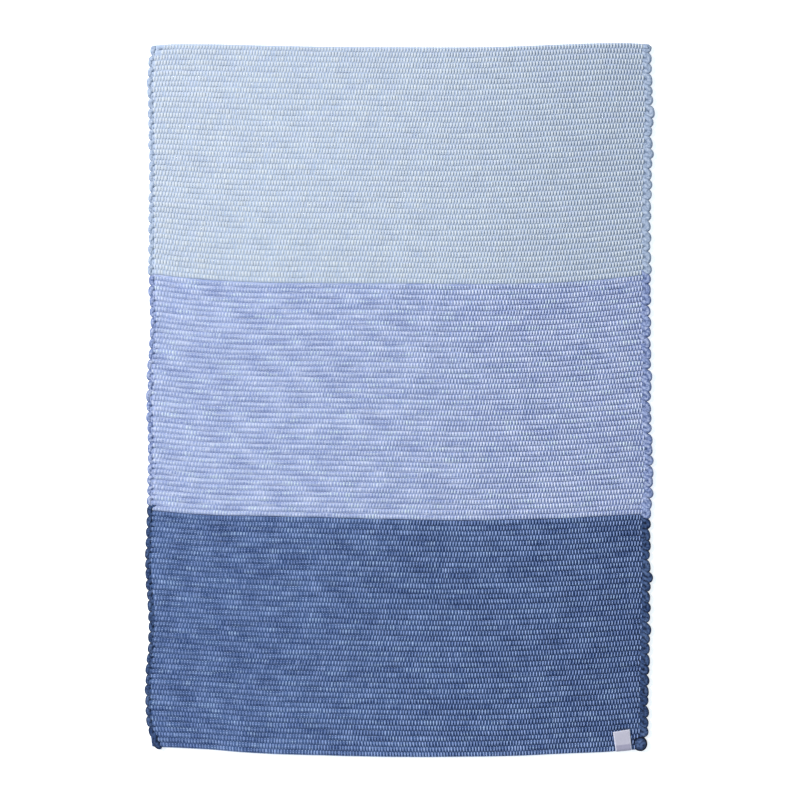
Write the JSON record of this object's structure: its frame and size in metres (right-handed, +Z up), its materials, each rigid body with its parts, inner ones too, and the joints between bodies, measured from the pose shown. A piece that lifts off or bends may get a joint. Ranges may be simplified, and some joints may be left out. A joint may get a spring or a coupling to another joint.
{
  "type": "cotton rug",
  "caption": "Rectangular flat handwoven cotton rug with raised weft ribs, looped side edges, wide bands of blue and a small blank tape label turned over one end near a corner.",
  "frame": {"origin": "on the floor, under the middle of the rug's outline box", "axes": "+X across the rug, +Y along it from the dark end to the pale end, +Z up from the floor; the label is at the +X corner of the dark end"},
  "size_m": [0.7154, 1, 0.0083],
  "materials": {
    "weft_mid": "matt soft cotton yarn, periwinkle blue with paler streaks",
    "weft_pale": "matt soft cotton yarn, pale ice blue",
    "weft_dark": "matt soft cotton yarn, denim blue with mild streaks",
    "warp_thread": "thin matt cotton thread, near white with a blue cast",
    "label_tape": "blank woven tape, pale lilac grey, slight sheen"
  },
  "bodies": {
    "root": {"rug_cloth": "weft_mid", "label": "label_tape"}
  },
  "joints": []
}
